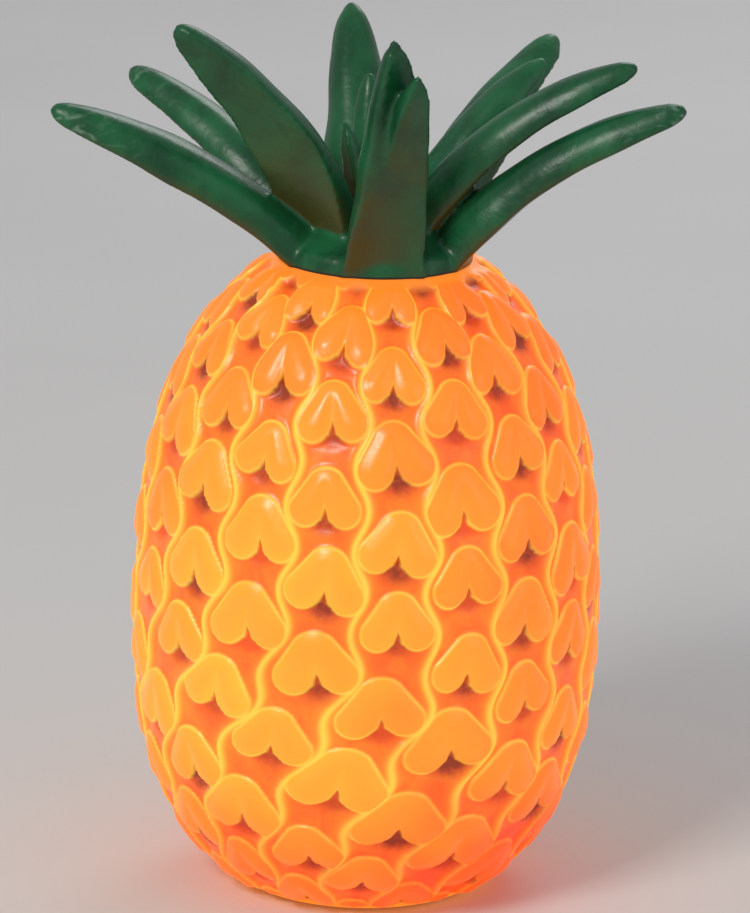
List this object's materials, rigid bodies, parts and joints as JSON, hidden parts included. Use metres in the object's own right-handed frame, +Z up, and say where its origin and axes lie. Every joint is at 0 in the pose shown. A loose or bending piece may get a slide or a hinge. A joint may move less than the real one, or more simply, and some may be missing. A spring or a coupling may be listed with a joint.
{
  "type": "pineapple table lamp",
  "caption": "Table lamp shaped as a pineapple: a translucent relief-moulded fruit shell and a green leaf crown over a screw-in bulb on a round switched base.",
  "frame": {"origin": "on the resting surface, at the lamp's upright axis, in the middle of the foot ring", "axes": "+Z up along the fruit's axis, -Y the lamp's front, +Y the switch and cord bush at the back, +X to the right seen from the front"},
  "size_m": [0.2318, 0.178, 0.3408],
  "materials": {
    "shell_plastic": "translucent moulded, hand-tinted orange and yellow, glossy",
    "leaf_plastic": "opaque dark green, glossy",
    "base_plastic": "fine-textured warm white moulding",
    "foot_rubber": "matt black, non-slip",
    "plated_steel": "zinc-plated",
    "brass": "plain brass",
    "holder_plastic": "black heat-proof moulding",
    "core_ceramic": "unglazed steatite",
    "bulb_glass": "clear, thin",
    "cap_metal": "spun screw cap",
    "cap_insulator": "black fused glass",
    "solder": "soft solder",
    "filament": "glowing tungsten",
    "switch_plastic": "black",
    "bush_plastic": "black nylon",
    "block_plastic": "milky polyethylene",
    "brown_insulation": "soft brown sleeve",
    "blue_insulation": "soft blue sleeve"
  },
  "bodies": {
    "base": {"base_housing": "base_plastic", "base_cover": "base_plastic", "foot_ring": "foot_rubber", "cover_screws": "plated_steel", "threaded_nipple": "plated_steel", "nipple_nut": "plated_steel", "lock_washer": "plated_steel", "holder_cap": "holder_plastic", "holder_core": "core_ceramic", "holder_skirt": "holder_plastic", "thread_sleeve": "brass", "centre_contact": "brass", "holder_terminals": "brass", "terminal_clamp_screws": "plated_steel", "switch_frame": "switch_plastic", "switch_spades": "brass", "spade_receptacles": "brass", "cord_bush": "bush_plastic", "terminal_block": "block_plastic", "block_inserts": "brass", "block_clamp_screws": "plated_steel", "block_screw": "plated_steel", "live_lead": "brown_insulation", "neutral_lead": "blue_insulation", "switch_lead": "brown_insulation"},
    "shell": {"wall_stave_01": "shell_plastic", "wall_stave_02": "shell_plastic", "wall_stave_03": "shell_plastic", "wall_stave_04": "shell_plastic", "wall_stave_05": "shell_plastic", "wall_stave_06": "shell_plastic", "wall_stave_07": "shell_plastic", "wall_stave_08": "shell_plastic", "wall_stave_09": "shell_plastic", "wall_stave_10": "shell_plastic", "wall_stave_11": "shell_plastic", "wall_stave_12": "shell_plastic", "shell_floor": "shell_plastic", "neck_ring": "shell_plastic"},
    "crown": {"leaf_crown": "leaf_plastic", "crown_spigot": "leaf_plastic"},
    "bulb": {"bulb_glass": "bulb_glass", "bulb_cap": "cap_metal", "bulb_insulator": "cap_insulator", "bulb_contact": "solder", "bulb_stem": "bulb_glass", "bulb_support_wires": "plated_steel", "bulb_filament": "filament"},
    "rocker": {"switch_rocker": "switch_plastic"}
  },
  "joints": [
    {"name": "shell_lift", "type": "slide", "parent": "base", "child": "shell", "axis": [0, 0, 1], "range_m": [0, 0.15]},
    {"name": "crown_lift", "type": "slide", "parent": "shell", "child": "crown", "axis": [0, 0, 1], "range_m": [0, 0.04]},
    {"name": "bulb_unscrew", "type": "slide", "parent": "base", "child": "bulb", "axis": [0, 0, 1], "range_m": [0, 0.03]},
    {"name": "rocker_tilt", "type": "hinge", "parent": "base", "child": "rocker", "pos_m": [0.0095, 0.0638, 0.013], "axis": [0, 0, 1], "range_deg": [0, 14]}
  ]
}
